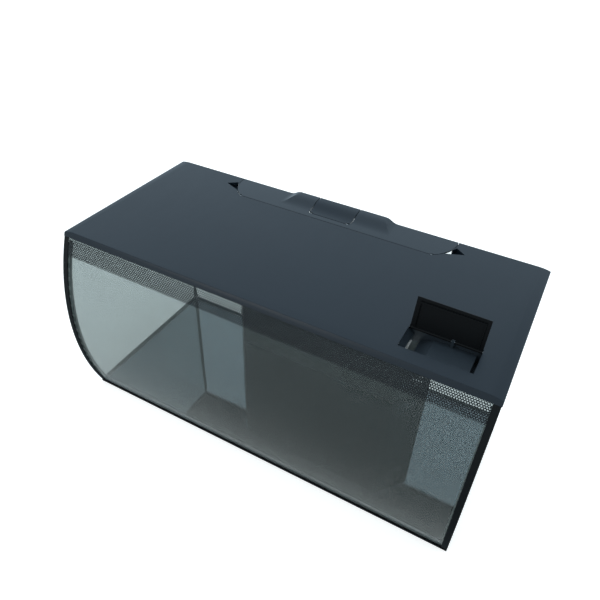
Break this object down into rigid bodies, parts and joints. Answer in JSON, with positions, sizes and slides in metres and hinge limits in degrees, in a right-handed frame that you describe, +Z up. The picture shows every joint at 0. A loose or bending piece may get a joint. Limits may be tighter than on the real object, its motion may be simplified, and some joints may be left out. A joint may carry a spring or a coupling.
{
  "type": "bow-front glass aquarium",
  "caption": "Glass aquarium with an outward-bowed front, lift-off lid with feed port and rear flap, honeycomb band and a rear filter chamber with pump and jets.",
  "frame": {"origin": "middle of the footprint, at the level of the surface the tank stands on", "axes": "+X along the tank to the right seen from the front, +Y towards the back, +Z up"},
  "size_m": [0.82, 0.396, 0.4512],
  "materials": {
    "clear_glass": "polished float glass with a faint green edge",
    "lid_plastic": "satin slate-blue moulding",
    "feed_plastic": "satin black-blue moulding",
    "black_trim": "satin black",
    "foam_mat": "closed-cell foam",
    "honeycomb_film": "printed honeycomb film",
    "silicone": "cured black silicone",
    "chamber_plastic": "satin black panel",
    "basket_plastic": "moulded grey-black",
    "filter_foam": "open-cell foam",
    "carbon_cloth": "white fleece bag",
    "ring_ceramic": "porous sintered ceramic",
    "pump_plastic": "gloss black",
    "black_rubber": "soft matt rubber",
    "wire_steel": "bright drawn steel",
    "lamp_aluminium": "anodised extrusion",
    "lamp_cap_plastic": "satin black",
    "lamp_diffuser": "frosted acrylic",
    "board_white": "white solder mask",
    "led_yellow": "phosphor-coated package"
  },
  "bodies": {
    "tank": {"base_frame": "black_trim", "levelling_mat": "foam_mat", "bottom_glass": "clear_glass", "rear_glass": "clear_glass", "front_glass": "clear_glass", "left_side_glass": "clear_glass", "right_side_glass": "clear_glass", "left_edge_trim": "black_trim", "right_edge_trim": "black_trim", "honeycomb_band": "honeycomb_film", "glass_seams": "silicone", "filter_housing": "chamber_plastic", "left_intake_grille": "chamber_plastic", "right_intake_grille": "chamber_plastic", "left_baffle": "chamber_plastic", "right_baffle": "chamber_plastic", "left_media_basket": "basket_plastic", "right_media_basket": "basket_plastic", "left_carbon_bag": "carbon_cloth", "right_carbon_bag": "carbon_cloth", "left_ceramic_rings": "ring_ceramic", "right_ceramic_rings": "ring_ceramic", "left_foam_caddy": "basket_plastic", "right_foam_caddy": "basket_plastic", "left_foam_block": "filter_foam", "right_foam_block": "filter_foam", "pump_body": "pump_plastic", "pump_cover": "pump_plastic", "impeller_shaft": "ring_ceramic", "suction_feet": "black_rubber", "pump_cable_gland": "black_rubber", "riser_hose": "black_rubber", "outlet_manifold": "chamber_plastic", "left_nozzle_socket": "chamber_plastic", "right_nozzle_socket": "chamber_plastic"},
    "impeller": {"impeller": "pump_plastic"},
    "left_nozzle_ring": {"left_nozzle_ring": "chamber_plastic"},
    "left_nozzle": {"left_nozzle": "chamber_plastic"},
    "right_nozzle_ring": {"right_nozzle_ring": "chamber_plastic"},
    "right_nozzle": {"right_nozzle": "chamber_plastic"},
    "lid": {"lid_shell": "lid_plastic", "feed_tray": "feed_plastic", "tray_screws": "wire_steel", "feed_hinge_pin": "wire_steel", "rear_flap_hinge_wires": "wire_steel", "lamp_housing": "lamp_aluminium", "lamp_end_caps": "lamp_cap_plastic", "lamp_lens": "lamp_diffuser", "led_board": "board_white", "led_chips": "led_yellow", "lamp_screws": "wire_steel", "lamp_cable_gland": "black_rubber"},
    "feed_flap": {"feed_flap": "feed_plastic"},
    "rear_flap": {"rear_flap": "lid_plastic", "cable_tab_hinge_wires": "wire_steel"},
    "cable_tab": {"cable_tab": "lid_plastic"}
  },
  "joints": [
    {"name": "lid_lift", "type": "slide", "parent": "tank", "child": "lid", "axis": [0, 0, 1], "range_m": [0, 0.15]},
    {"name": "feed_flap_hinge", "type": "hinge", "parent": "lid", "child": "feed_flap", "pos_m": [0.301, -0.075, 0.3995], "axis": [1, 0, 0], "range_deg": [0, 104]},
    {"name": "rear_flap_hinge", "type": "hinge", "parent": "lid", "child": "rear_flap", "pos_m": [0, 0.1327, 0.4006], "axis": [1, 0, 0], "range_deg": [0, 95]},
    {"name": "cable_tab_hinge", "type": "hinge", "parent": "rear_flap", "child": "cable_tab", "pos_m": [-0.009, 0.1467, 0.4006], "axis": [1, 0, 0], "range_deg": [0, 70]},
    {"name": "left_nozzle_turn", "type": "hinge", "parent": "tank", "child": "left_nozzle_ring", "pos_m": [-0.062, 0.1083, 0.335], "axis": [0, 1, 0], "continuous": true},
    {"name": "left_nozzle_tilt", "type": "hinge", "parent": "left_nozzle_ring", "child": "left_nozzle", "pos_m": [-0.062, 0.1083, 0.335], "axis": [1, 0, 0], "range_deg": [-20, 20]},
    {"name": "right_nozzle_turn", "type": "hinge", "parent": "tank", "child": "right_nozzle_ring", "pos_m": [0.062, 0.1083, 0.335], "axis": [0, 1, 0], "continuous": true},
    {"name": "right_nozzle_tilt", "type": "hinge", "parent": "right_nozzle_ring", "child": "right_nozzle", "pos_m": [0.062, 0.1083, 0.335], "axis": [1, 0, 0], "range_deg": [-20, 20]},
    {"name": "impeller_spin", "type": "hinge", "parent": "tank", "child": "impeller", "pos_m": [0, 0.14, 0.04], "axis": [0, 1, 0], "continuous": true}
  ]
}
